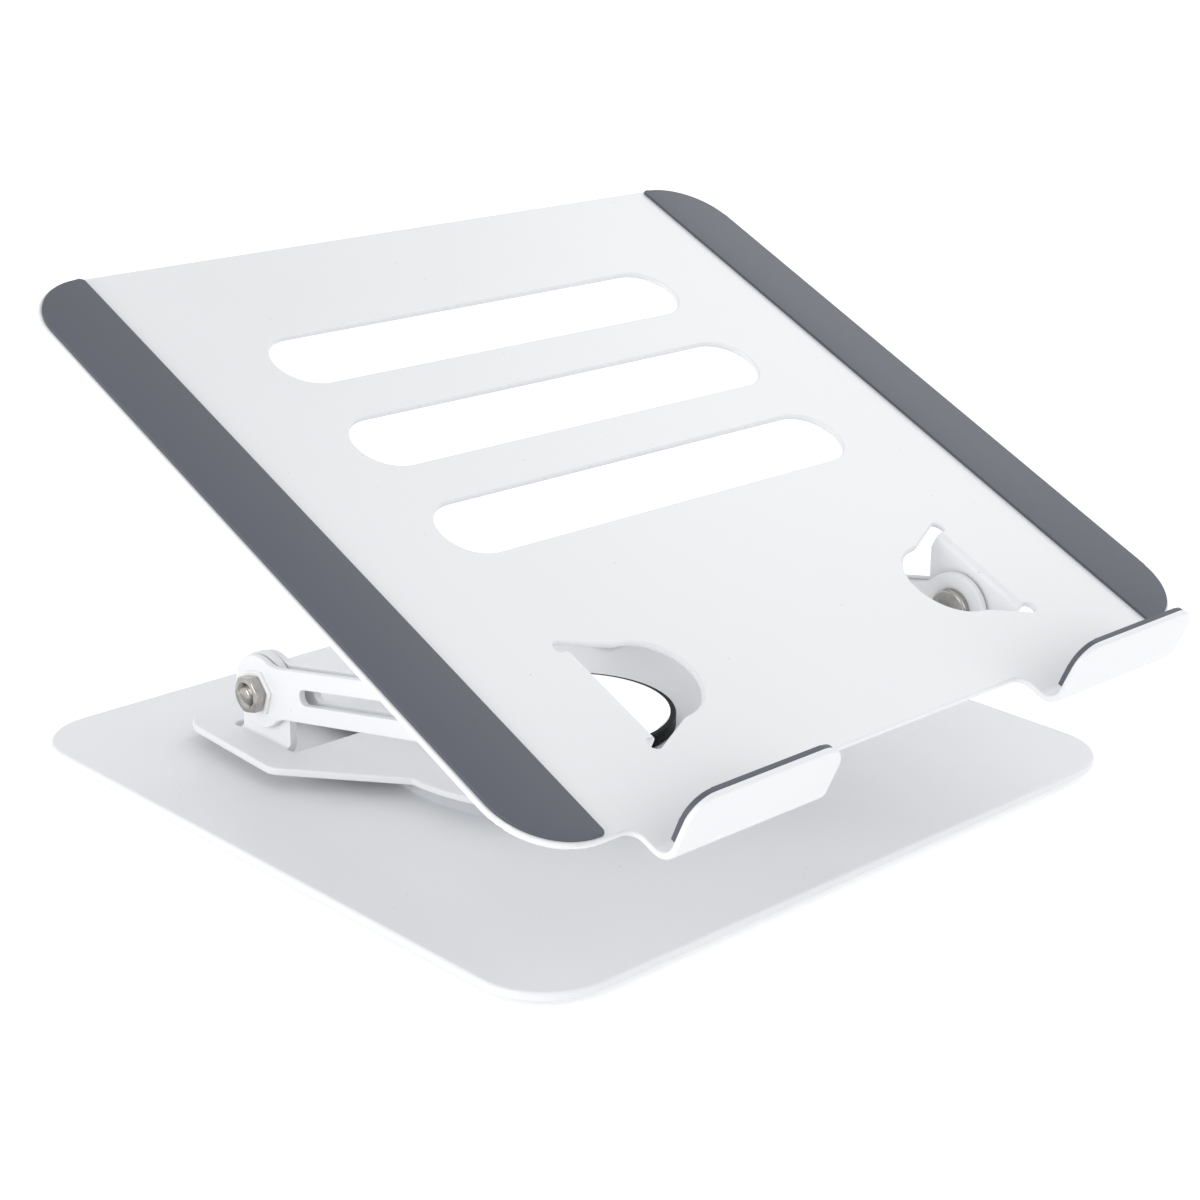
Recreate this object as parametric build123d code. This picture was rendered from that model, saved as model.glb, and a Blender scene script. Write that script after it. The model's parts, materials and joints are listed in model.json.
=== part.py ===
from build123d import *
import os
from math import asin, atan2, cos, hypot, pi, radians, sin

# Laptop stand: a tilting platform on two pairs of arms that fold onto a swivel base.
# Millimetres, +Z up, +Y towards the back. The origin is on the desk, on the swivel axis.

# Base plate and feet
base_width = 254.0
base_depth = 247.0
base_sheet = 3.0
base_corner = 22.0
base_edge = 1.0
foot_height = 2.0
foot_radius = 12.0
foot_edge = 0.5
foot_inset = 26.0
centre_foot_radius = 38.0

# Swivel
slide_disc_radius = 63.5
slide_disc_height = 4.5
hub_neck_radius = 22.0
hub_collar_radius = 33.2
hub_collar_height = 4.2
hub_collar_edge = 0.5
hub_cap_radius = 31.4
hub_cap_height = 1.2
hub_cap_proud = 0.2
hub_screw_radius = 2.0
hub_screw_head_radius = 3.9
hub_screw_circle = 14.0
hub_screw_count = 4
hub_screw_grip = 7.0
friction_ring_radius = 30.0
friction_ring_height = 0.5

# Swivel plate
swivel_sheet = 2.5
swivel_radius = 67.0
swivel_edge = 0.7
wing_front_half = 94.5
wing_front_y = 35.0
wing_back_half = 91.0
wing_back_y = 88.0
wing_front_corner = 7.0
wing_back_corner = 12.0

# Pivots: where the lugs stand, and the arms between them
lug_centre = 78.6
lower_pivot_y = 56.0
lower_pivot_rise = 15.9
arm_length = 151.0
arm_angle = 11.3
arm_sheet = 2.5
arm_width = 16.5
arm_head_radius = 11.8
arm_neck_radius = 12.0
arm_slot_width = 5.0
arm_slot_setback = 22.0
arm_edge = 0.5
swivel_lug_radius = 12.3
swivel_lug_bend = 1.25
notch_radius = 2.1
lug_gap = 0.2
friction_washer_height = 0.5
friction_washer_radius = 9.0

# Fasteners of the pivots (M6)
bolt_radius = 3.0
bolt_clearance = 0.06
bolt_head_radius = 7.0
bolt_head_height = 2.5
bolt_head_bevel = 0.8
bolt_socket = 4.0
bolt_socket_depth = 1.6
bolt_tip = 0.7
bolt_tip_bevel = 0.5
seat_across_flats = 13.4
seat_height = 1.1
nut_across_flats = 11.0
nut_height = 3.7
nut_bevel = 0.6

# Platform
platform_width = 280.0
platform_depth = 250.4
platform_sheet = 2.0
platform_corner = 22.0
platform_edge = 0.7
platform_tilt = 24.3
pivot_setback = 42.3
pivot_drop = 16.0
platform_lug_radius = 12.0
platform_lug_foot = 36.0
platform_lug_shoulder = 5.6
platform_lug_bend = 0.3
cutout_radius = 15.3
cutout_neck_radius = 8.0
slot_count = 3
slot_width = 23.6
slot_inset = 58.0
slot_first = 113.4
slot_pitch = 41.4

# Front lips
lip_inset = 33.0
lip_width = 56.0
lip_setback = 14.2
lip_height = 21.2
lip_bend = 4.5
lip_corner = 8.0
lip_root_fillet = 4.0
lip_pad_sheet = 1.5
lip_pad_inset = 0.4
lip_pad_bottom = 6.0

# Grip strips
strip_width = 22.8
strip_sheet = 1.0
strip_inset = 1.0
strip_inner_corner = 1.0
strip_edge = 0.35

# Levels and places that follow from the sizes above
same_place = 1e-6
base_bottom = foot_height
base_top = base_bottom + base_sheet
swivel_bottom = base_top + slide_disc_height
swivel_top = swivel_bottom + swivel_sheet
lower_pivot = (lower_pivot_y, swivel_top + lower_pivot_rise)
upper_pivot = (
    lower_pivot[0] - arm_length * cos(radians(arm_angle)),
    lower_pivot[1] + arm_length * sin(radians(arm_angle)),
)
arm_frame = Pos(0, *lower_pivot) * Rot(-arm_angle, 0, 0)
platform_frame = Pos(0, *upper_pivot) * Rot(platform_tilt, 0, 0)
platform_front = -pivot_setback
platform_top = pivot_drop
lip_centre = platform_width / 2 - lip_inset - lip_width / 2
arm_gap_half = swivel_sheet / 2 + friction_washer_height
arm_inner_faces = {"inner": lug_centre - arm_gap_half - arm_sheet, "outer": lug_centre + arm_gap_half}
stack_inside = arm_inner_faces["inner"]
stack_outside = arm_inner_faces["outer"] + arm_sheet
pivot_bore = bolt_radius + bolt_clearance
SIDES = {"left": -1, "right": 1}

os.makedirs("parts", exist_ok=True)


def disc(radius, bottom, height):
    """A solid disc about the Z axis."""
    return Pos(0, 0, bottom) * extrude(Circle(radius), height)


def ring(outer, inner, bottom, height):
    """A flat ring about the Z axis."""
    return disc(outer, bottom, height) - disc(inner, bottom, height)


def along_x(sketch, start, length):
    """Extrude a sketch drawn in (y, z) along +X, from x = start."""
    return Pos(start, 0, 0) * extrude(Plane.YZ * sketch, length)


def rounded(length, width, radius):
    """A rectangle with equal round corners."""
    return RectangleRounded(length, width, radius)


def outline_edges(sheet):
    """The edges of a flat sheet's outline and holes, top and bottom."""
    flats = sheet.faces().filter_by(Axis.Z)
    return flats.edges()


def both_sides(shape):
    """A shape and its mirror image across the middle of the stand."""
    return [mirror(shape, Plane.YZ), shape]


def save(name, shapes):
    """Write one node: one solid, or several equal pieces."""
    solids = []
    for shape in shapes if isinstance(shapes, list) else [shapes]:
        solids += shape.solids()
    node = solids[0] if len(solids) == 1 else Compound(children=solids)
    node.label = name
    export_step(node, f"parts/{name}.step")


def build_base():
    """Base plate, its feet and the middle foot."""
    holes = PolarLocations(hub_screw_circle, hub_screw_count)
    plate = extrude(rounded(base_width, base_depth, base_corner), base_sheet)
    plate = fillet(outline_edges(plate), base_edge)
    plate = Pos(0, 0, base_bottom) * plate
    cone = hub_screw_cone(lug_gap / 2)
    plate -= holes * cone
    plate -= holes * disc(hub_screw_radius + lug_gap, base_bottom, base_sheet)
    save("base_plate", plate)

    corners = GridLocations(base_width - 2 * foot_inset, base_depth - 2 * foot_inset, 2, 2)
    foot = disc(foot_radius, 0, foot_height)
    foot = fillet(foot.edges().sort_by(Axis.Z)[0], foot_edge)
    save("corner_feet", [place * foot for place in corners])
    middle = disc(centre_foot_radius, 0, foot_height)
    save("centre_foot", middle)


def hub_screw_cone(clearance):
    """The countersunk head of a hub screw, its flat face level with the base plate's underside."""
    head = hub_screw_head_radius + clearance
    shank = hub_screw_radius + clearance
    return Pos(0, 0, base_bottom + (head - shank) / 2) * Cone(head, shank, head - shank)


def build_hub():
    """Slide disc, collar, cap, screws and friction ring."""
    holes = PolarLocations(hub_screw_circle, hub_screw_count)
    neck_hole = hub_neck_radius + lug_gap
    save("slide_disc", ring(slide_disc_radius, neck_hole, base_top, slide_disc_height))

    collar_bottom = swivel_top + friction_ring_height
    collar_top = collar_bottom + hub_collar_height
    cap_bottom = collar_top + hub_cap_proud - hub_cap_height
    collar = disc(hub_collar_radius, collar_bottom, hub_collar_height)
    collar = fillet(collar.edges().sort_by(Axis.Z)[-1], hub_collar_edge)
    collar += disc(hub_neck_radius, base_top, collar_bottom - base_top)
    collar -= disc(hub_cap_radius + lug_gap / 2, cap_bottom, hub_cap_height)
    collar -= holes * disc(hub_screw_radius, base_top, hub_screw_grip)
    save("hub_collar", collar)

    cap = disc(hub_cap_radius, cap_bottom, hub_cap_height)
    cap = fillet(cap.edges().sort_by(Axis.Z)[-1], hub_cap_proud)
    save("hub_cap", cap)

    screw = hub_screw_cone(0)
    screw += disc(hub_screw_radius, base_bottom, base_sheet + hub_screw_grip)
    save("hub_screws", [place * screw for place in holes])
    save("friction_ring", ring(friction_ring_radius, neck_hole, swivel_top, friction_ring_height))


def folded_strip(sheet, bend, face, length):
    """A strip of sheet, level at z = 0 on top, that turns down through a bend to a lug.

    The lug's outboard face is at x = face, and the strip runs along Y, centred on y = 0."""
    tangent = face + bend
    outer = bend + sheet
    centre = (tangent, -outer)
    section = Pos(*centre) * (Circle(outer) - Circle(bend))
    section &= Pos(tangent - outer / 2, -outer / 2) * Rectangle(outer, outer)
    section += Pos(tangent + sheet / 2, -sheet / 2) * Rectangle(sheet, sheet)
    return Pos(0, length / 2, 0) * extrude(Plane.XZ * section, length)


def build_swivel_lug():
    """The right-hand lug of the swivel plate, with its bend, its bore at the lower pivot."""
    face = lug_centre + swivel_sheet / 2
    foot = 2 * swivel_lug_radius
    strip = mirror(folded_strip(swivel_sheet, swivel_lug_bend, face, foot), Plane.XY)
    strip = Pos(0, lower_pivot[0], swivel_bottom) * strip
    root = swivel_bottom + swivel_sheet + swivel_lug_bend
    side = Pos(lower_pivot[0], (root + lower_pivot[1]) / 2) * Rectangle(foot, lower_pivot[1] - root)
    side += Pos(*lower_pivot) * Circle(swivel_lug_radius)
    side -= Pos(*lower_pivot) * Circle(pivot_bore)
    lug = along_x(side, face - swivel_sheet, swivel_sheet)
    return strip + lug


def build_swivel_plate():
    """The swivel plate with two lugs bent up, each out of an opening of its own size."""
    wing = Polyline(
        (-swivel_radius, 0),
        (-wing_front_half, wing_front_y),
        (-wing_back_half, wing_back_y),
        (wing_back_half, wing_back_y),
        (wing_front_half, wing_front_y),
        (swivel_radius, 0),
        close=True,
    )
    outline = make_face(wing)
    front_corners = [v for v in outline.vertices() if abs(v.Y - wing_front_y) < same_place]
    outline = fillet(front_corners, wing_front_corner)
    back_corners = [v for v in outline.vertices() if abs(v.Y - wing_back_y) < same_place]
    outline = fillet(back_corners, wing_back_corner)
    outline += Circle(swivel_radius)
    outline -= Circle(hub_neck_radius + lug_gap)

    bend_line = lug_centre + swivel_sheet / 2 + swivel_lug_bend
    lug_reach = lower_pivot[1] - swivel_top + swivel_lug_radius
    opening_half = swivel_lug_radius + 2 * notch_radius
    opening_inner = bend_line - lug_reach
    opening = Pos((opening_inner + bend_line) / 2, lower_pivot[0]) * rounded(
        bend_line - opening_inner, 2 * opening_half, notch_radius
    )
    for side in both_sides(opening):
        outline -= side
    plate = extrude(outline, swivel_sheet)
    plate = fillet(outline_edges(plate), swivel_edge)
    plate = Pos(0, 0, swivel_bottom) * plate
    for lug in both_sides(build_swivel_lug()):
        plate += lug
    save("swivel_plate", plate)


def build_arms():
    """Four equal arms: one inside and one outside each pair of lugs."""
    body = Pos(-arm_length / 2, 0) * Rectangle(arm_length, arm_width)
    heads = [Pos(-reach, 0) * Circle(arm_head_radius) for reach in (0, arm_length)]
    outline = body + heads
    necks = [v for v in outline.vertices() if abs(abs(v.Y) - arm_width / 2) < same_place]
    outline = fillet(necks, arm_neck_radius)
    slot_length = arm_length - 2 * arm_slot_setback
    outline -= Pos(-arm_length / 2, 0) * SlotOverall(slot_length, arm_slot_width)
    blank = extrude(outline, arm_sheet)
    blank = fillet(outline_edges(blank), arm_edge)
    blank -= [Pos(-reach, 0) * disc(pivot_bore, 0, arm_sheet) for reach in (0, arm_length)]
    for place, face in arm_inner_faces.items():
        arm = Pos(face, 0, 0) * (Plane.YZ * blank)
        for side, piece in zip(SIDES, both_sides(arm_frame * arm)):
            save(f"{side}_{place}_arm", piece)


def hexagon(across_flats, height):
    """A hexagonal prism that stands on z = 0, with two corners on the X axis."""
    return extrude(RegularPolygon(across_flats / 2, 6, major_radius=False), height)


def fastener_set():
    """One bolt, its nut and the nut's seat about the X axis, for the right-hand side."""
    head = disc(bolt_head_radius, 0, bolt_head_height)
    head = chamfer(head.edges().sort_by(Axis.Z)[0], bolt_head_bevel)
    head -= hexagon(bolt_socket, bolt_socket_depth)
    shank_end = stack_outside + seat_height + nut_height + bolt_tip
    shank = disc(bolt_radius, bolt_head_height, shank_end - stack_inside)
    shank = chamfer(shank.edges().sort_by(Axis.Z)[-1], bolt_tip_bevel)
    bolt = Pos(stack_inside - bolt_head_height, 0, 0) * (Plane.YZ * (head + shank))

    seat = hexagon(seat_across_flats, seat_height) - disc(pivot_bore, 0, seat_height)
    seat = Pos(stack_outside, 0, 0) * (Plane.YZ * seat)

    round_blank = disc(nut_across_flats / 2 / cos(pi / 6), 0, nut_height)
    round_blank = chamfer(round_blank.edges(), nut_bevel)
    nut = hexagon(nut_across_flats, nut_height) & round_blank
    nut -= disc(pivot_bore, 0, nut_height)
    nut = Pos(stack_outside + seat_height, 0, 0) * (Plane.YZ * nut)
    return {"bolts": bolt, "nuts": nut, "washers": seat}


def friction_washers(sheet):
    """The thin rings on both faces of a right-hand lug."""
    gap = (arm_inner_faces["outer"] - arm_inner_faces["inner"] - arm_sheet - sheet) / 2
    washer = Plane.YZ * ring(friction_washer_radius, pivot_bore, 0, gap)
    inner = Pos(arm_inner_faces["inner"] + arm_sheet, 0, 0) * washer
    outer = Pos(arm_inner_faces["outer"] - gap, 0, 0) * washer
    return [inner, outer]


def build_pivots():
    """The fasteners and friction washers of the lower and the upper pivots."""
    pivots = {
        "lower": (Pos(0, *lower_pivot) * Rot(-arm_angle, 0, 0), swivel_sheet),
        "upper": (platform_frame, platform_sheet),
    }
    for level, (frame, sheet) in pivots.items():
        for kind, piece in fastener_set().items():
            save(f"{level}_pivot_{kind}", both_sides(frame * piece))
        washers = []
        for piece in friction_washers(sheet):
            washers += both_sides(frame * piece)
        save(f"{level}_friction_washers", washers)


def tangent_point(start, centre, radius):
    """Where a line from the start touches a circle, on the circle's left as seen from the start."""
    across = centre[0] - start[0]
    along = centre[1] - start[1]
    distance = hypot(across, along)
    heading = atan2(along, across) + asin(radius / distance)
    reach = distance * cos(asin(radius / distance))
    return (start[0] + reach * cos(heading), start[1] + reach * sin(heading))


def mirrored_face(half_outline):
    """A face from the half of its outline with y above 0, closed by that half's mirror image."""
    other_half = [(x, -y) for x, y in reversed(half_outline)]
    return make_face(Polyline(*half_outline, *other_half, close=True))


def build_platform_lug():
    """The right-hand lug of the platform, in the platform's own frame about the upper pivot."""
    face = lug_centre + platform_sheet / 2
    strip = folded_strip(platform_sheet, platform_lug_bend, face, platform_lug_foot)
    foot = platform_top - platform_sheet - platform_lug_bend
    shoulder = (platform_top - platform_lug_shoulder, platform_lug_foot / 2)
    touch = tangent_point((shoulder[0], -shoulder[1]), (0, 0), platform_lug_radius)
    side = mirrored_face([(foot, shoulder[1]), shoulder, (touch[0], -touch[1])])
    side += Circle(platform_lug_radius)
    side = Rot(0, 0, 90) * side - Circle(pivot_bore)
    return Pos(0, 0, platform_top) * strip + along_x(side, face - platform_sheet, platform_sheet)


def platform_cutout():
    """The hole that the right-hand lug leaves: round about the flat pivot, with a tip at each end."""
    bend_line = lug_centre + platform_sheet / 2 + platform_lug_bend
    bend_length = pi / 2 * (platform_lug_bend + platform_sheet / 2)
    flat_pivot = bend_line - bend_length - (platform_top - platform_sheet - platform_lug_bend)
    tip = (bend_line, platform_lug_foot / 2 + notch_radius)
    neck = (flat_pivot, cutout_radius)
    hole = mirrored_face([neck, tangent_point(neck, tip, notch_radius), tip])
    hole += Pos(flat_pivot, 0) * Circle(cutout_radius)
    necks = [v for v in hole.vertices() if abs(abs(v.Y) - cutout_radius) < same_place]
    hole = fillet(necks, cutout_neck_radius)
    hole += [Pos(bend_line, end * tip[1]) * Circle(notch_radius) for end in (-1, 1)]
    return hole


def build_lip():
    """The right-hand lip: it runs on from the platform's front edge and turns up through a trough."""
    outer = lip_bend + platform_sheet
    face = platform_front - lip_setback
    top = platform_top + lip_height
    centre = (face + outer, platform_top + lip_bend)
    quarter = Pos(centre[0] - outer / 2, centre[1] - outer / 2) * Rectangle(outer, outer)
    section = (Pos(*centre) * (Circle(outer) - Circle(lip_bend))) & quarter
    wall_height = top - centre[1]
    section += Pos(face + platform_sheet / 2, centre[1] + wall_height / 2) * Rectangle(
        platform_sheet, wall_height
    )
    root = platform_edge
    section += Pos(centre[0] + root / 2, platform_top - platform_sheet / 2) * Rectangle(root, platform_sheet)
    lip = along_x(section, lip_centre - lip_width / 2, lip_width)
    corners = [e for e in lip.edges().filter_by(Axis.Y) if abs(e.center().Z - top) < same_place]
    lip = fillet(corners, lip_corner)
    sides = lip.faces().filter_by(Axis.X)
    rim = ShapeList(e for e in sides.edges() if e.center().Y < centre[0] + root / 2)
    return fillet(rim.filter_by(lambda e: abs(e.length - platform_sheet) > same_place), platform_edge)


def build_platform():
    """The platform sheet with its slots, lugs and lips, in its own frame about the upper pivot."""
    middle = platform_front + platform_depth / 2
    outline = Pos(0, middle) * rounded(platform_width, platform_depth, platform_corner)
    for index in range(slot_count):
        place = Pos(0, platform_front + slot_first + index * slot_pitch)
        outline -= place * SlotOverall(platform_width - 2 * slot_inset, slot_width)
    for hole in both_sides(platform_cutout()):
        outline -= hole
    tab_length = lip_setback - lip_bend - platform_sheet
    tab = Pos(lip_centre, platform_front - tab_length / 2) * Rectangle(lip_width, tab_length)
    for side in both_sides(tab):
        outline += side
    lip_sides = (lip_centre - lip_width / 2, lip_centre + lip_width / 2)
    roots = [
        v
        for v in outline.vertices()
        if abs(v.Y - platform_front) < same_place and min(abs(abs(v.X) - x) for x in lip_sides) < same_place
    ]
    outline = fillet(roots, lip_root_fillet)
    sheet = extrude(outline, platform_sheet)
    sheet = fillet(outline_edges(sheet), platform_edge)
    sheet = Pos(0, 0, platform_top - platform_sheet) * sheet
    for lug in both_sides(build_platform_lug()):
        sheet += lug
    for lip in both_sides(build_lip()):
        sheet += lip
    save("platform", platform_frame * sheet)


def build_pads():
    """The two grip strips on the platform and the two pads inside the lips."""
    middle = platform_front + platform_depth / 2
    inset_width = platform_width - 2 * strip_inset
    inset_depth = platform_depth - 2 * strip_inset
    outer = Pos(0, middle) * rounded(inset_width, inset_depth, platform_corner - strip_inset)
    band = outer & (Pos(inset_width / 2, middle) * rounded(2 * strip_width, inset_depth, strip_inner_corner))
    strip = extrude(band, strip_sheet)
    strip = fillet(strip.faces().sort_by(Axis.Z)[-1].edges(), strip_edge)
    strip = platform_frame * (Pos(0, 0, platform_top) * strip)

    pad_width = lip_width - 2 * lip_pad_inset
    pad_height = lip_height - lip_pad_inset - lip_pad_bottom
    pad_middle = platform_top + lip_pad_bottom + pad_height / 2
    pad_corner = lip_corner - lip_pad_inset
    face = Pos(lip_centre, pad_middle) * Rectangle(pad_width, pad_height)
    top_corners = face.vertices().sort_by(Axis.Y)[-2:]
    face = fillet(top_corners, pad_corner)
    pad = extrude(Plane.XZ * face, -lip_pad_sheet)
    pad = Pos(0, platform_front - lip_setback + platform_sheet, 0) * pad
    pad = platform_frame * pad
    for side, piece in zip(SIDES, both_sides(strip)):
        save(f"{side}_grip_strip", piece)
    for side, piece in zip(SIDES, both_sides(pad)):
        save(f"{side}_lip_pad", piece)


build_base()
build_hub()
build_swivel_plate()
build_arms()
build_pivots()
build_platform()
build_pads()
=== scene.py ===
import json
import math

import bmesh
import bpy
from mathutils import Matrix, Vector


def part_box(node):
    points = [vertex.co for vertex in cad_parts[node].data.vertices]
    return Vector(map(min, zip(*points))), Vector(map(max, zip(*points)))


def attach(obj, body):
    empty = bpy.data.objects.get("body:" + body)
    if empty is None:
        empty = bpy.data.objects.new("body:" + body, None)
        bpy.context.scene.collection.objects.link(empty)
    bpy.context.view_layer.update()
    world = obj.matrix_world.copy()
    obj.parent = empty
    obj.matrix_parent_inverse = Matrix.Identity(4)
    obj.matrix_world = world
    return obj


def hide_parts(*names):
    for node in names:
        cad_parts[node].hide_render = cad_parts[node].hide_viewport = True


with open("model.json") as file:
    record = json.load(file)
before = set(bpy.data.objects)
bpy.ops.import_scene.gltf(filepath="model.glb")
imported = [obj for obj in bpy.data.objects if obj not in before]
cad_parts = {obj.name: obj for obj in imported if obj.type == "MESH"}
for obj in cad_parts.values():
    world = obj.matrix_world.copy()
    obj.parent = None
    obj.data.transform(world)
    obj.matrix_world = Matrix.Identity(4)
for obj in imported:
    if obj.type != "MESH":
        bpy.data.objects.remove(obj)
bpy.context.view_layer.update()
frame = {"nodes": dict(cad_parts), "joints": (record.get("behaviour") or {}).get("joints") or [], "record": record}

mm = 0.001


def newObject(name, bm):
    mesh = bpy.data.meshes.new(name)
    bm.to_mesh(mesh)
    bm.free()
    piece = bpy.data.objects.new(name, mesh)
    bpy.context.scene.collection.objects.link(piece)
    return piece


# camera, lights and floor
cameraValues = {
    "place": (-0.50106, -0.53528, 0.31159),
    "heading": -43.846,  # degrees about Z, from looking along +Y
    "tip": 70.356,  # degrees up from looking straight down
    "roll": 0.781,
    "lens": 73.74,
    "shift": (-0.0030, 0.0100),
}
lightValues = {
    "skyColor": (0.985, 0.99, 1.0),
    "skyLight": 0.73,  # what falls on matt surfaces
    "skySeen": 1.1,  # what gloss and the camera see
    "middle": (0.0, 0.0, 0.06),
    "frontPlace": (0.7, -1.5, 0.9),
    "frontSize": 1.3,
    "frontPower": 5.7,
    "rightPlace": (1.5, 0.4, 1.3),
    "rightSize": 1.0,
    "rightPower": 5.9,
    "leftPlace": (-1.7, 0.1, 0.45),
    "leftSize": 1.2,
    "leftPower": 12.1,
}
floorValues = {"size": 12.0, "color": (0.96, 0.96, 0.96), "roughness": 0.7, "glow": 0.26}


def makeCamera():
    v = cameraValues
    data = bpy.data.cameras.new("camera")
    data.lens = v["lens"]
    data.sensor_width = 36.0
    data.shift_x, data.shift_y = v["shift"]
    data.clip_start = 0.01
    camera = bpy.data.objects.new("camera", data)
    heading = Matrix.Rotation(math.radians(v["heading"]), 4, "Z")
    tip = Matrix.Rotation(math.radians(v["tip"]), 4, "X")
    roll = Matrix.Rotation(math.radians(v["roll"]), 4, "Z")
    camera.matrix_world = Matrix.Translation(v["place"]) @ heading @ tip @ roll
    bpy.context.scene.collection.objects.link(camera)
    bpy.context.scene.camera = camera


def aimedLight(name, place, target, size, power):
    data = bpy.data.lights.new(name, "AREA")
    data.shape = "DISK"
    data.size = size
    data.energy = power
    light = bpy.data.objects.new(name, data)
    light.location = place
    light.rotation_euler = (Vector(target) - Vector(place)).to_track_quat("-Z", "Y").to_euler()
    bpy.context.scene.collection.objects.link(light)


def makeSky():
    v = lightValues
    world = bpy.data.worlds.new("studio")
    world.use_nodes = True
    tree = world.node_tree
    sky = tree.nodes["Background"]
    sky.inputs["Color"].default_value = (*v["skyColor"], 1.0)
    path = tree.nodes.new("ShaderNodeLightPath")
    strength = tree.nodes.new("ShaderNodeMapRange")
    strength.inputs["To Min"].default_value = v["skySeen"]
    strength.inputs["To Max"].default_value = v["skyLight"]
    tree.links.new(path.outputs["Is Diffuse Ray"], strength.inputs["Value"])
    tree.links.new(strength.outputs["Result"], sky.inputs["Strength"])
    bpy.context.scene.world = world


def makeFloor():
    bm = bmesh.new()
    bmesh.ops.create_grid(bm, x_segments=1, y_segments=1, size=floorValues["size"] / 2)
    floor = newObject("floor", bm)
    material = bpy.data.materials.new("floorPaper")
    material.use_nodes = True
    shader = material.node_tree.nodes["Principled BSDF"]
    shader.inputs["Base Color"].default_value = (*floorValues["color"], 1.0)
    shader.inputs["Roughness"].default_value = floorValues["roughness"]
    shader.inputs["Emission Color"].default_value = (1.0, 1.0, 1.0, 1.0)
    shader.inputs["Emission Strength"].default_value = floorValues["glow"]
    floor.data.materials.append(material)


def makeStudio():
    v = lightValues
    bpy.context.scene.view_settings.view_transform = "Standard"
    makeSky()
    makeFloor()
    for side in ("front", "right", "left"):
        aimedLight(side + "Light", v[side + "Place"], v["middle"], v[side + "Size"], v[side + "Power"])
    print("studio ready")


# shader groups, each built once and placed in the materials with its own values
def newGroup(name, inputs, outputs):
    group = bpy.data.node_groups.new(name, "ShaderNodeTree")
    for label, kind, value in inputs:
        socket = group.interface.new_socket(name=label, in_out="INPUT", socket_type=kind)
        socket.default_value = value
    for label, kind in outputs:
        group.interface.new_socket(name=label, in_out="OUTPUT", socket_type=kind)
    return group, group.nodes.new("NodeGroupInput"), group.nodes.new("NodeGroupOutput")


def addNode(tree, kind, inputs=(), **settings):  # inputs are linked, or set where they are plain values
    node = tree.nodes.new(kind)
    for label, value in settings.items():
        setattr(node, label, value)
    for socket, source in inputs:
        if isinstance(source, bpy.types.NodeSocket):
            tree.links.new(source, node.inputs[socket])
        else:
            node.inputs[socket].default_value = source
    return node


def noiseOf(tree, place, scale, detail):
    inputs = [("Vector", place), ("Scale", scale), ("Detail", detail)]
    return addNode(tree, "ShaderNodeTexNoise", inputs).outputs["Fac"]


def remap(tree, value, newLow, newHigh):  # stretches the middle of a noise to a new range
    inputs = [("Value", value), ("From Min", 0.3), ("From Max", 0.7)]
    inputs += [("To Min", newLow), ("To Max", newHigh)]
    return addNode(tree, "ShaderNodeMapRange", inputs).outputs["Result"]


def mathOf(tree, operation, first, second):
    return addNode(tree, "ShaderNodeMath", [(0, first), (1, second)], operation=operation).outputs["Value"]


def tonedColor(tree, color, brightness):
    toned = addNode(tree, "ShaderNodeHueSaturation", [("Color", color), ("Value", brightness)])
    return toned.outputs["Color"]


surfaceOutputs = [
    ("Color", "NodeSocketColor"),
    ("Roughness", "NodeSocketFloat"),
    ("Height", "NodeSocketFloat"),
]
speckRareness = 0.86  # share of the cells that stay clean
speckStrength = 0.5


def coatGroup():  # sprayed and baked coat: orange peel, slow change of tone and a few sunk specks
    inputs = [
        ("Color", "NodeSocketColor", (0.8, 0.8, 0.8, 1)),
        ("Speck Color", "NodeSocketColor", (0.3, 0.3, 0.3, 1)),
        ("Peel Scale", "NodeSocketFloat", 900.0),
        ("Speck Scale", "NodeSocketFloat", 260.0),
        ("Speck Size", "NodeSocketFloat", 0.05),
        ("Roughness", "NodeSocketFloat", 0.45),
    ]
    group, given, made = newGroup("coatSurface", inputs, surfaceOutputs)
    place = addNode(group, "ShaderNodeTexCoord").outputs["Object"]
    slow = noiseOf(group, place, 9.0, 3.0)
    peel = noiseOf(group, place, given.outputs["Peel Scale"], 2.0)
    spread = [("Vector", place), ("Scale", given.outputs["Speck Scale"])]
    cells = addNode(group, "ShaderNodeTexVoronoi", spread)
    near = mathOf(group, "LESS_THAN", cells.outputs["Distance"], given.outputs["Speck Size"])
    picked = addNode(group, "ShaderNodeSeparateColor", [("Color", cells.outputs["Color"])])
    rare = mathOf(group, "GREATER_THAN", picked.outputs["Red"], speckRareness)
    speck = mathOf(group, "MULTIPLY", near, rare)
    toned = tonedColor(group, given.outputs["Color"], remap(group, slow, 0.985, 1.01))
    strength = mathOf(group, "MULTIPLY", speck, speckStrength)
    blend = [("Factor", strength), (6, toned), (7, given.outputs["Speck Color"])]
    mixed = addNode(group, "ShaderNodeMix", blend, data_type="RGBA").outputs[2]
    group.links.new(mixed, made.inputs["Color"])
    rough = mathOf(group, "ADD", given.outputs["Roughness"], remap(group, slow, -0.03, 0.03))
    group.links.new(rough, made.inputs["Roughness"])
    group.links.new(mathOf(group, "SUBTRACT", peel, speck), made.inputs["Height"])
    return group


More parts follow.
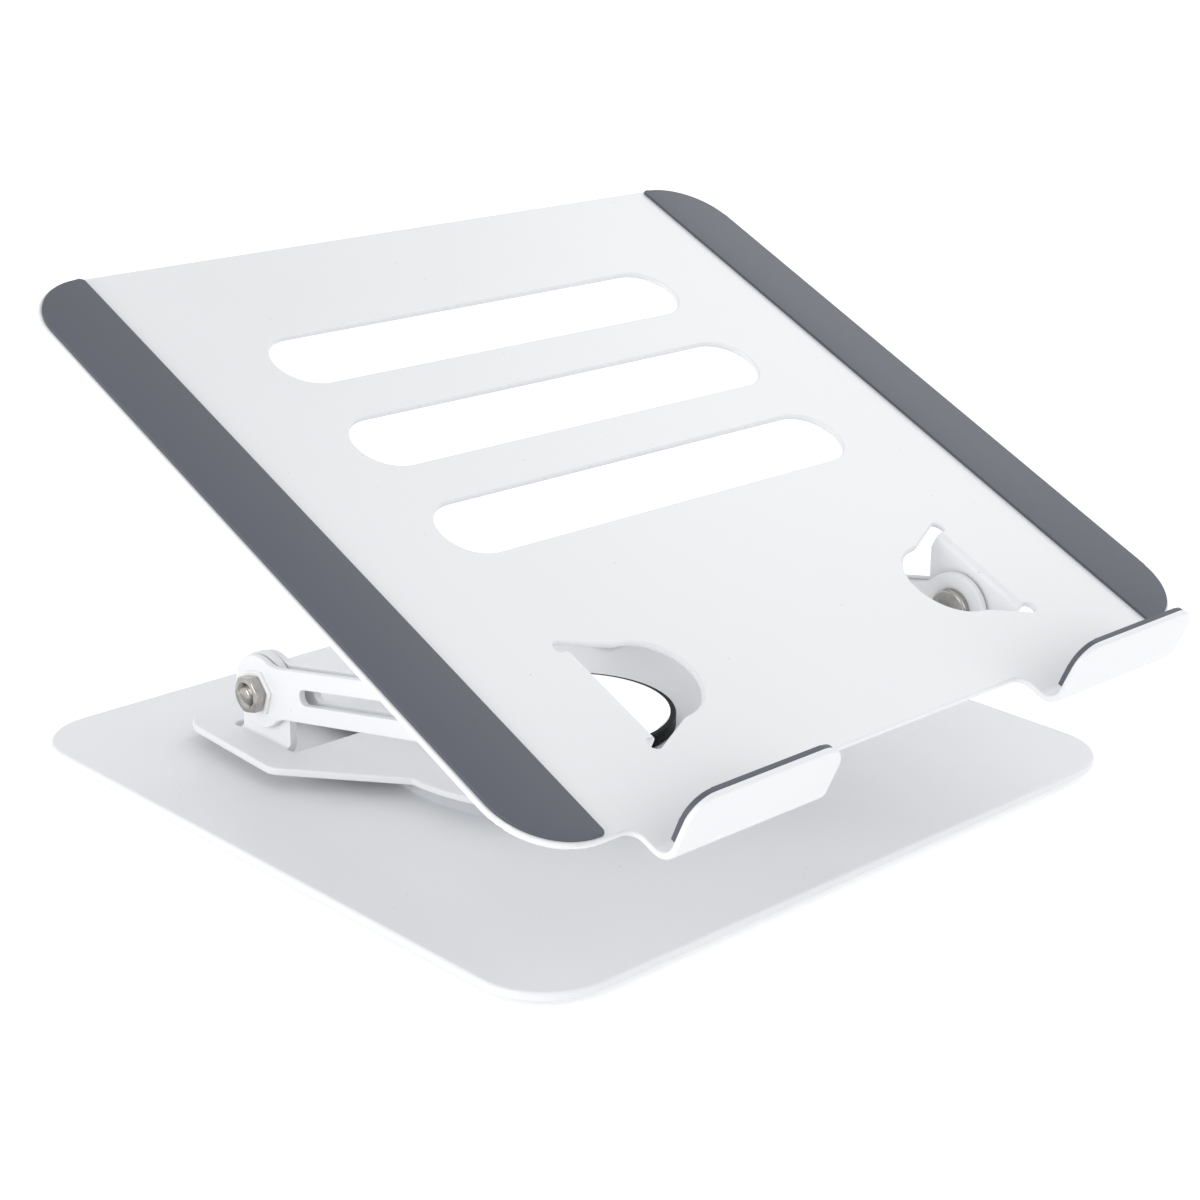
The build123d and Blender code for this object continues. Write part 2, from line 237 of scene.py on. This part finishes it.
def grainGroup():  # fine moulded grain of rubber and plastic
    inputs = [
        ("Color", "NodeSocketColor", (0.1, 0.1, 0.1, 1)),
        ("Grain Scale", "NodeSocketFloat", 2200.0),
        ("Tone Change", "NodeSocketFloat", 0.04),
        ("Roughness", "NodeSocketFloat", 0.7),
    ]
    group, given, made = newGroup("grainSurface", inputs, surfaceOutputs)
    place = addNode(group, "ShaderNodeTexCoord").outputs["Object"]
    slow = noiseOf(group, place, 14.0, 4.0)
    grain = noiseOf(group, place, given.outputs["Grain Scale"], 2.0)
    low = mathOf(group, "SUBTRACT", 1.0, given.outputs["Tone Change"])
    high = mathOf(group, "ADD", 1.0, given.outputs["Tone Change"])
    toned = tonedColor(group, given.outputs["Color"], remap(group, slow, low, high))
    group.links.new(toned, made.inputs["Color"])
    rough = mathOf(group, "ADD", given.outputs["Roughness"], remap(group, grain, -0.04, 0.04))
    group.links.new(rough, made.inputs["Roughness"])
    group.links.new(grain, made.inputs["Height"])
    return group


def platedGroup():  # fine marks and faint stains of plated and polished metal
    inputs = [
        ("Color", "NodeSocketColor", (0.7, 0.7, 0.7, 1)),
        ("Mark Scale", "NodeSocketFloat", 3000.0),
        ("Stain", "NodeSocketFloat", 0.05),
        ("Roughness", "NodeSocketFloat", 0.18),
    ]
    group, given, made = newGroup("platedSurface", inputs, surfaceOutputs)
    place = addNode(group, "ShaderNodeTexCoord").outputs["Object"]
    stain = noiseOf(group, place, 240.0, 4.0)
    marks = noiseOf(group, place, given.outputs["Mark Scale"], 1.0)
    low = mathOf(group, "SUBTRACT", 1.0, given.outputs["Stain"])
    toned = tonedColor(group, given.outputs["Color"], remap(group, stain, low, 1.02))
    group.links.new(toned, made.inputs["Color"])
    rough = mathOf(group, "MULTIPLY", given.outputs["Roughness"], remap(group, stain, 0.8, 1.3))
    group.links.new(rough, made.inputs["Roughness"])
    group.links.new(marks, made.inputs["Height"])
    return group


surfaceGroups = {"coat": coatGroup(), "grain": grainGroup(), "plated": platedGroup()}

materialValues = {  # group, its inputs, plain shader sockets, and the bump's height
    "whiteCoat": (
        "coat",
        {
            "Color": (0.79, 0.80, 0.815),
            "Speck Color": (0.33, 0.33, 0.35),
            "Peel Scale": 1100.0,
            "Speck Scale": 230.0,
            "Speck Size": 0.055,
            "Roughness": 0.42,
        },
        {"Specular IOR Level": 0.45},
        0.012 * mm,
    ),
    "gripRubber": (
        "grain",
        {"Color": (0.090, 0.098, 0.120), "Grain Scale": 2600.0, "Tone Change": 0.03, "Roughness": 0.55},
        {"Specular IOR Level": 0.38},
        0.015 * mm,
    ),
    "footRubber": (
        "grain",
        {"Color": (0.045, 0.045, 0.05), "Grain Scale": 1800.0, "Tone Change": 0.05, "Roughness": 0.75},
        {"Specular IOR Level": 0.35},
        0.02 * mm,
    ),
    "discNylon": (
        "grain",
        {"Color": (0.56, 0.57, 0.59), "Grain Scale": 1600.0, "Tone Change": 0.02, "Roughness": 0.5},
        {"Specular IOR Level": 0.45},
        0.01 * mm,
    ),
    "collarAcetal": (
        "grain",
        {"Color": (0.0025, 0.0025, 0.004), "Grain Scale": 1500.0, "Tone Change": 0.08, "Roughness": 0.5},
        {"Specular IOR Level": 0.1},
        0.012 * mm,
    ),
    "washerNylon": (
        "grain",
        {"Color": (0.13, 0.13, 0.14), "Grain Scale": 1500.0, "Tone Change": 0.05, "Roughness": 0.6},
        {"Specular IOR Level": 0.4},
        0.01 * mm,
    ),
    "seatNylon": (
        "grain",
        {"Color": (0.84, 0.84, 0.84), "Grain Scale": 1500.0, "Tone Change": 0.015, "Roughness": 0.45},
        {"Specular IOR Level": 0.5},
        0.008 * mm,
    ),
    "mirrorSteel": (
        "plated",
        {"Color": (0.97, 0.97, 0.975), "Mark Scale": 900.0, "Stain": 0.01, "Roughness": 0.06},
        {"Metallic": 1.0},
        0.0003 * mm,
    ),
    "nickelPlate": (
        "plated",
        {"Color": (0.47, 0.45, 0.425), "Mark Scale": 2600.0, "Stain": 0.3, "Roughness": 0.12},
        {"Metallic": 1.0},
        0.002 * mm,
    ),
}


def makeMaterial(name):
    groupName, inputs, sockets, bumpHeight = materialValues[name]
    material = bpy.data.materials.new(name)
    material.use_nodes = True
    tree = material.node_tree
    shader = tree.nodes["Principled BSDF"]
    surface = addNode(tree, "ShaderNodeGroup", node_tree=surfaceGroups[groupName])
    for label, value in inputs.items():
        surface.inputs[label].default_value = (*value, 1.0) if isinstance(value, tuple) else value
    for label, value in sockets.items():
        shader.inputs[label].default_value = value
    tree.links.new(surface.outputs["Color"], shader.inputs["Base Color"])
    tree.links.new(surface.outputs["Roughness"], shader.inputs["Roughness"])
    relief = [("Height", surface.outputs["Height"]), ("Distance", bumpHeight)]
    bump = addNode(tree, "ShaderNodeBump", relief)
    tree.links.new(bump.outputs["Normal"], shader.inputs["Normal"])
    material.diffuse_color = (*inputs["Color"], 1.0)
    return material


materials = {name: makeMaterial(name) for name in materialValues}
slotMaterials = {
    "white_coat": "whiteCoat",
    "grip_rubber": "gripRubber",
    "foot_rubber": "footRubber",
    "disc_plastic": "discNylon",
    "collar_plastic": "collarAcetal",
    "washer_plastic": "washerNylon",
    "seat_plastic": "seatNylon",
    "cap_steel": "mirrorSteel",
    "fastener_steel": "nickelPlate",
}
nodeSlots = {part["node"]: part["material_slot"] for part in frame["record"]["subparts"]}


def paintCadNodes():
    for name, node in frame["nodes"].items():
        node.data.materials.clear()
        node.data.materials.append(materials[slotMaterials[nodeSlots[name]]])
    print("painted", len(frame["nodes"]), "CAD nodes")


# places taken from the frame
jointPlaces = {joint["name"]: Vector(joint["pos_m"]) for joint in frame["joints"]}
mountAxes = {mount["name"]: Vector(mount["axis"]) for mount in frame["record"]["mounts"]}
lowerPivot = jointPlaces["arm_lift"]
upperPivot = jointPlaces["platform_tilt"]
restAxis = mountAxes["laptop_rest_right"]
armAngle = math.atan2(upperPivot.z - lowerPivot.z, lowerPivot.y - upperPivot.y)
tiltAngle = math.atan2(-restAxis.y, restAxis.z)
armFrame = Matrix.Translation(lowerPivot) @ Matrix.Rotation(-armAngle, 4, "X")
platformFrame = Matrix.Translation(upperPivot) @ Matrix.Rotation(tiltAngle, 4, "X")
alongX = Matrix(((0, 0, 1, 0), (1, 0, 0, 0), (0, 1, 0, 0), (0, 0, 0, 1)))  # local Z to the right
mirrorX = Matrix.Scale(-1, 4, Vector((1, 0, 0)))


def localBox(node, place, rightOnly=False):  # corners of a CAD node in a turned frame
    inverse = place.inverted()
    points = [inverse @ v.co for v in frame["nodes"][node].data.vertices]
    if rightOnly:
        points = [p for p in points if p.x > 0]
    low = Vector([min(p[i] for p in points) for i in range(3)])
    high = Vector([max(p[i] for p in points) for i in range(3)])
    return low, high


def finishPiece(name, bm, body, node, sharpAngle=32):
    bmesh.ops.remove_doubles(bm, verts=bm.verts, dist=0.001 * mm)
    bmesh.ops.recalc_face_normals(bm, faces=bm.faces)
    for face in bm.faces:
        face.smooth = True
    piece = newObject(name, bm)
    piece.data.set_sharp_from_angle(angle=math.radians(sharpAngle))
    piece.data.materials.append(materials[slotMaterials[nodeSlots[node]]])
    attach(piece, body)
    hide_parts(node)


def addShape(target, source, matrix):  # a placed copy of one bmesh in another
    mesh = bpy.data.meshes.new("part")
    source.to_mesh(mesh)
    mesh.transform(matrix)
    target.from_mesh(mesh)
    bpy.data.meshes.remove(mesh)


# turned pieces: each ring is a radius and a height, and either may depend on the angle
ringSegments = 96


def putRing(verts, radius, height):
    for vert in verts:
        angle = math.atan2(vert.co.y, vert.co.x)
        r = radius(angle) if callable(radius) else radius
        z = height(angle) if callable(height) else height
        vert.co = Vector((r * math.cos(angle), r * math.sin(angle), z))


def turnedShape(rings, closed=False):  # closed joins the last ring to the first
    bm = bmesh.new()
    circle = bmesh.ops.create_circle(bm, radius=1.0, segments=ringSegments)["verts"]
    firstEdges = bm.edges[:]
    putRing(circle, *rings[0])
    lastEdges = firstEdges
    for radius, height in rings[1:]:
        grown = bmesh.ops.extrude_edge_only(bm, edges=lastEdges)["geom"]
        lastEdges = [item for item in grown if isinstance(item, bmesh.types.BMEdge)]
        putRing([item for item in grown if isinstance(item, bmesh.types.BMVert)], radius, height)
    if closed:
        bmesh.ops.bridge_loops(bm, edges=firstEdges + lastEdges)
    else:
        bmesh.ops.holes_fill(bm, edges=firstEdges + lastEdges, sides=0)
    return bm


def hexRadius(acrossFlats):  # two corners lie on the local X axis
    def radius(angle):
        return acrossFlats / 2 / math.cos(angle % (math.pi / 3) - math.pi / 6)

    return radius


def roundedRings(radius, height, edge, outward, steps=8):  # a quarter round from a face to a side
    rings = []
    for step in range(steps + 1):
        turn = step / steps * math.pi / 2
        inset = edge * (1 - math.sin(turn))
        rings.append((radius - inset, height + outward * edge * (1 - math.cos(turn))))
    return rings


# feet
footValues = {
    "edge": 0.5 * mm,
    "grooveWidth": 0.5 * mm,
    "grooveDepth": 0.35 * mm,
    "cornerGrooves": (4.0 * mm, 6.6 * mm, 9.2 * mm),
    "centreGrooves": (12.0 * mm, 18.0 * mm, 24.0 * mm, 30.0 * mm, 35.0 * mm),
}


def footShape(radius, bottom, top, grooves):
    width, depth = footValues["grooveWidth"], footValues["grooveDepth"]
    rings = [(grooves[0] / 2, bottom)]
    for place in grooves:
        rings += [(place - width, bottom), (place - width / 2, bottom + depth)]
        rings += [(place + width / 2, bottom + depth), (place + width, bottom)]
    rings += roundedRings(radius, bottom, footValues["edge"], 1)
    return turnedShape(rings + [(radius, top)])


def makeFeet():
    low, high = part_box("corner_feet")
    innerX = min(v.co.x for v in frame["nodes"]["corner_feet"].data.vertices if v.co.x > 0)
    radius = (high[0] - innerX) / 2
    foot = footShape(radius, low[2], high[2], footValues["cornerGrooves"])
    feet = bmesh.new()
    for across in (-1, 1):
        for along in (-1, 1):
            place = (across * (high[0] - radius), along * (high[1] - radius), 0)
            addShape(feet, foot, Matrix.Translation(place))
    foot.free()
    finishPiece("cornerFeet", feet, "base", "corner_feet")
    low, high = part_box("centre_foot")
    foot = footShape(high[0], low[2], high[2], footValues["centreGrooves"])
    finishPiece("centreFoot", foot, "base", "centre_foot")
    print("feet ready")


# bolts, nuts and nut seats of the pivots
fastenerValues = {
    "boltRadius": 3.0 * mm,
    "boreRadius": 3.06 * mm,
    "headHeight": 2.5 * mm,
    "headRim": 0.8 * mm,
    "headBack": 0.2 * mm,
    "socketFlats": 4.0 * mm,
    "socketDepth": 1.5 * mm,
    "socketEdge": 0.2 * mm,
    "domeHeight": 0.65 * mm,
    "domeSteps": 9,
    "pointRadius": 2.6 * mm,
    "pointLength": 0.7 * mm,
    "nutFlats": 11.0 * mm,
    "nutFace": 5.25 * mm,  # radius of the flat ring on each face
    "nutCone": 30,  # degrees
    "nutSink": 4.15 * mm,
    "nutSinkDepth": 1.1 * mm,
    "seatFlats": 13.4 * mm,
    "seatEdge": 0.25 * mm,
}


def boltShape(headRadius, length):
    v = fastenerValues
    socket = hexRadius(v["socketFlats"])
    mouth = hexRadius(v["socketFlats"] + 2 * v["socketEdge"])
    rings = [(v["socketFlats"] / 4, v["socketDepth"]), (socket, v["socketDepth"])]
    rings += [(socket, v["socketEdge"]), (mouth, 0.0)]
    rings += roundedRings(headRadius, 0.0, v["headRim"], 1)
    back = roundedRings(headRadius, v["headHeight"], v["headBack"], -1, 3)
    rings += back[::-1] + [(v["boltRadius"], v["headHeight"])]
    rings.append((v["boltRadius"], length - v["domeHeight"] - v["pointLength"]))
    for step in range(v["domeSteps"]):
        turn = step / v["domeSteps"] * math.pi / 2
        drop = v["domeHeight"] * (1 - math.sin(turn))
        rings.append((v["pointRadius"] * math.cos(turn), length - drop))
    return turnedShape(rings)


def nutShape(height):
    v = fastenerValues
    outer = hexRadius(v["nutFlats"])
    slope = math.tan(math.radians(v["nutCone"]))

    def lowEdge(angle):
        return (outer(angle) - v["nutFace"]) * slope

    def highEdge(angle):
        return height - lowEdge(angle)

    rings = [(v["boreRadius"], v["nutSinkDepth"]), (v["nutSink"], 0.0), (v["nutFace"], 0.0)]
    rings += [(outer, lowEdge), (outer, highEdge), (v["nutFace"], height), (v["nutSink"], height)]
    return turnedShape(rings + [(v["boreRadius"], height - v["nutSinkDepth"])], closed=True)


def seatShape(height):
    v = fastenerValues
    outer = hexRadius(v["seatFlats"])
    inner = hexRadius(v["seatFlats"] - 2 * v["seatEdge"])
    rings = [(v["boreRadius"], 0.0), (outer, 0.0), (outer, height - v["seatEdge"]), (inner, height)]
    return turnedShape(rings + [(v["boreRadius"], height)], closed=True)


def makeFasteners():
    for level, place, body in (("lower", armFrame, "arms"), ("upper", platformFrame, "upper_pivot")):
        for kind in ("bolts", "nuts", "washers"):
            node = f"{level}_pivot_{kind}"
            low, high = localBox(node, place, rightOnly=True)
            length = high.x - low.x
            shapes = {"nuts": nutShape, "washers": seatShape}
            shape = boltShape(high.y, length) if kind == "bolts" else shapes[kind](length)
            matrix = place @ Matrix.Translation((low.x, 0, 0)) @ alongX
            pair = bmesh.new()
            addShape(pair, shape, matrix)
            addShape(pair, shape, mirrorX @ matrix)
            shape.free()
            finishPiece(level + "Pivot" + kind.capitalize(), pair, body, node)
    print("pivot hardware ready")


# grip strips and lip pads
padValues = {
    "stripCorner": 21.0 * mm,
    "stripInnerCorner": 1.0 * mm,
    "stripEdge": 0.35 * mm,
    "padCorner": 7.6 * mm,
    "padEdge": 0.3 * mm,
    "cornerSegments": 24,
    "edgeSegments": 4,
}


# a sheet that rises along one axis, with its own corner radii
def flatPad(low, high, up, corners, edge):
    flat = [axis for axis in range(3) if axis != up]
    ends = (low, high)
    bm = bmesh.new()
    verts = []
    for first, second in ((0, 0), (1, 0), (1, 1), (0, 1)):
        vert = bm.verts.new(low)
        vert.co[flat[0]] = ends[first][flat[0]]
        vert.co[flat[1]] = ends[second][flat[1]]
        verts.append(vert)
    bm.faces.new(verts)
    for vert, radius in zip(verts, corners):
        if radius:
            bmesh.ops.bevel(
                bm,
                geom=[vert],
                offset=radius,
                affect="VERTICES",
                segments=padValues["cornerSegments"],
                profile=0.5,
                material=-1,
            )
    grown = bmesh.ops.extrude_face_region(bm, geom=bm.faces[:])["geom"]
    top = [item for item in grown if isinstance(item, bmesh.types.BMVert)]
    for vert in top:
        vert.co[up] = high[up]
    rim = [item for item in bm.edges if all(vert in top for vert in item.verts)]
    steps = padValues["edgeSegments"]
    bmesh.ops.bevel(bm, geom=rim, offset=edge, affect="EDGES", segments=steps, profile=0.5, material=-1)
    return bm


def makePads():
    v = padValues
    outer, inner = v["stripCorner"], v["stripInnerCorner"]
    corners = {"left": (outer, inner, inner, outer), "right": (inner, outer, outer, inner)}
    for side in corners:
        low, high = localBox(f"{side}_grip_strip", platformFrame)
        strip = flatPad(low, high, 2, corners[side], v["stripEdge"])
        bmesh.ops.transform(strip, matrix=platformFrame, verts=strip.verts)
        finishPiece(f"{side}GripStrip", strip, "platform", f"{side}_grip_strip")
        low, high = localBox(f"{side}_lip_pad", platformFrame)
        pad = flatPad(low, high, 1, (0, 0, v["padCorner"], v["padCorner"]), v["padEdge"])
        bmesh.ops.transform(pad, matrix=platformFrame, verts=pad.verts)
        finishPiece(f"{side}LipPad", pad, "platform", f"{side}_lip_pad")
    print("strips and pads ready")


makeCamera()
makeStudio()
paintCadNodes()
makeFeet()
makeFasteners()
makePads()
